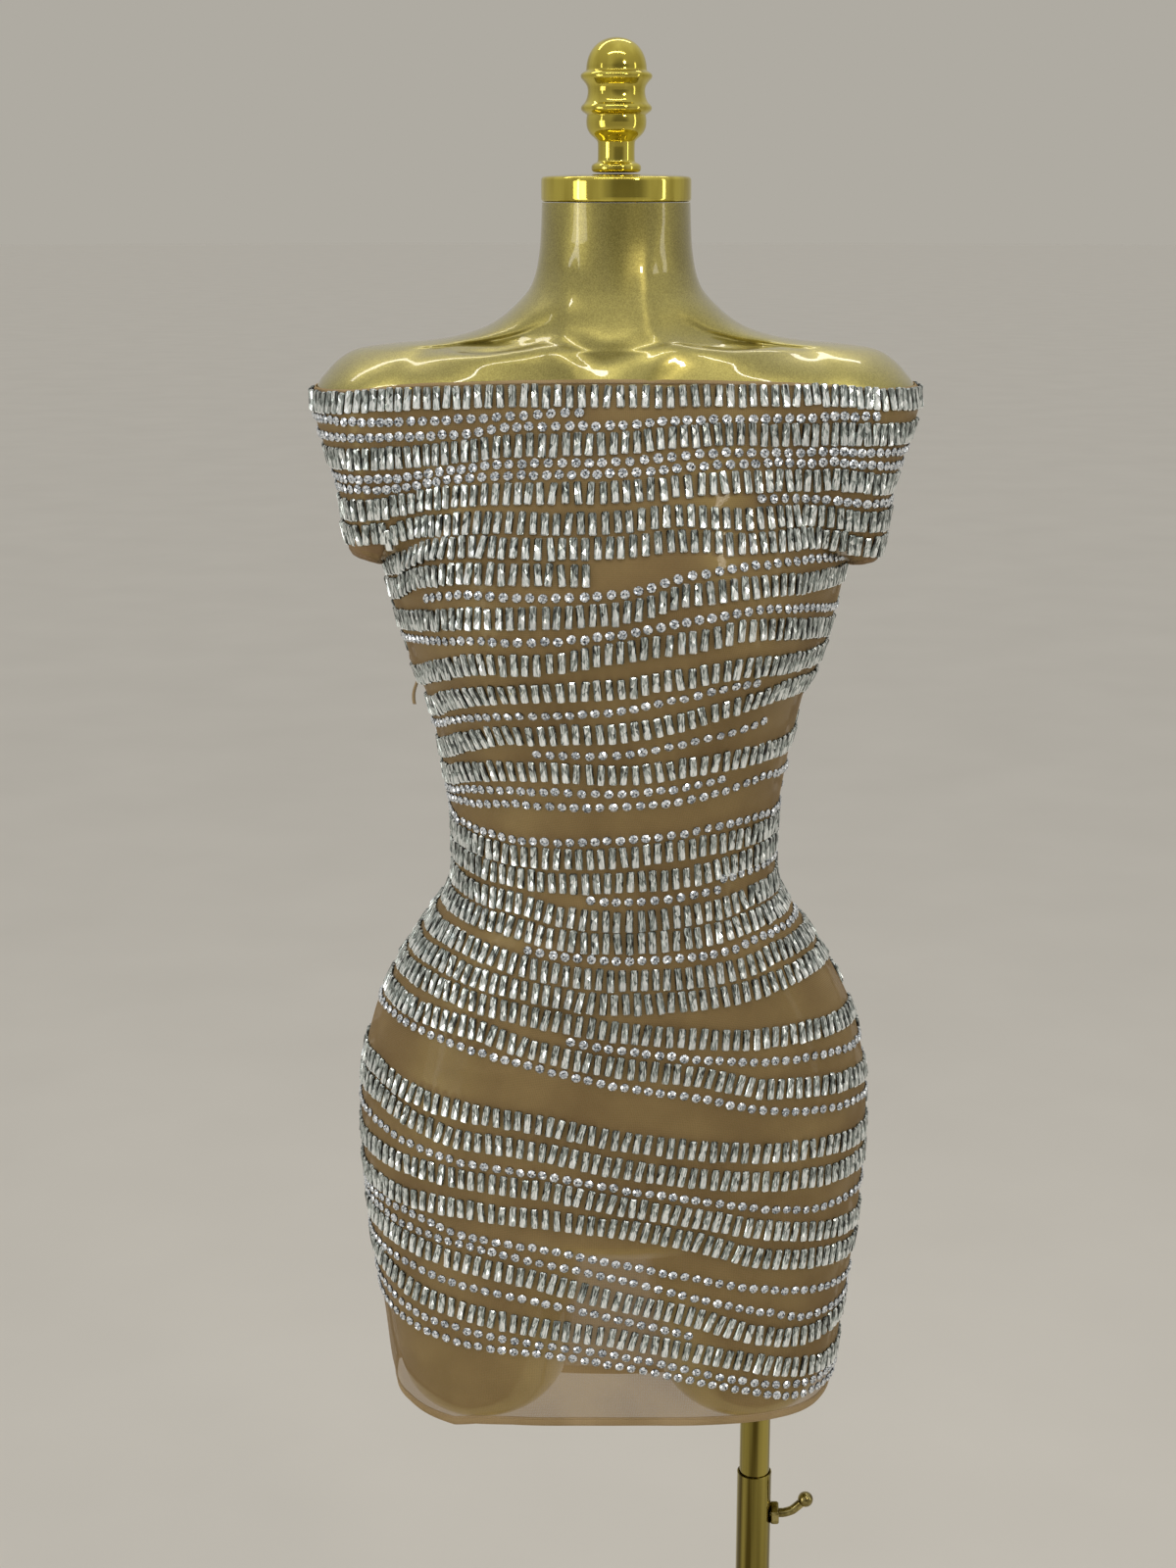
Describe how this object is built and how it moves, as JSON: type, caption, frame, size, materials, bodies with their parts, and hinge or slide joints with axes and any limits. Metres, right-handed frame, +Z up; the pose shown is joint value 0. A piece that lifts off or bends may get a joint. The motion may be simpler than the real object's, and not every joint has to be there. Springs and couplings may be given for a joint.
{
  "type": "mini dress on a dress form",
  "caption": "Off-shoulder sheer mesh mini dress set with wavy rows of crystal stones, on a gold armless dress form with neck cap, finial, telescoping clamped pole and round plate.",
  "frame": {"origin": "centre of the bounding box on the floor, which is the centre of the round plate's underside", "axes": "+Z up; the dress's front faces -Y; +X is the viewer's right, where the pole stands"},
  "size_m": [0.3985, 0.38, 1.581],
  "materials": {
    "dress_mesh": "sheer nude power mesh with glued crystal stones",
    "form_paint": "pearlescent gold paint on a moulded shell",
    "polished_brass": "polished and lacquered"
  },
  "bodies": {
    "base": {"base_plate": "polished_brass", "base_socket": "polished_brass", "lower_tube": "polished_brass", "clamp_nut": "polished_brass"},
    "clamp": {"clamp_screw": "polished_brass"},
    "mast": {"upper_tube": "polished_brass"},
    "form": {"form_torso": "form_paint", "neck_cap": "polished_brass", "finial": "polished_brass", "dress_front": "dress_mesh", "dress_back": "dress_mesh", "sleeve_view_left": "dress_mesh", "sleeve_view_right": "dress_mesh"}
  },
  "joints": [
    {"name": "clamp_turn", "type": "hinge", "parent": "base", "child": "clamp", "pos_m": [0.1153, 0, 0.542], "axis": [1, 0, 0], "continuous": true},
    {"name": "mast_slide", "type": "slide", "parent": "base", "child": "mast", "axis": [0, 0, 1], "range_m": [-0.08, 0.25]},
    {"name": "form_turn", "type": "hinge", "parent": "mast", "child": "form", "pos_m": [0.104, 0, 0.79], "axis": [0, 0, 1], "continuous": true}
  ]
}
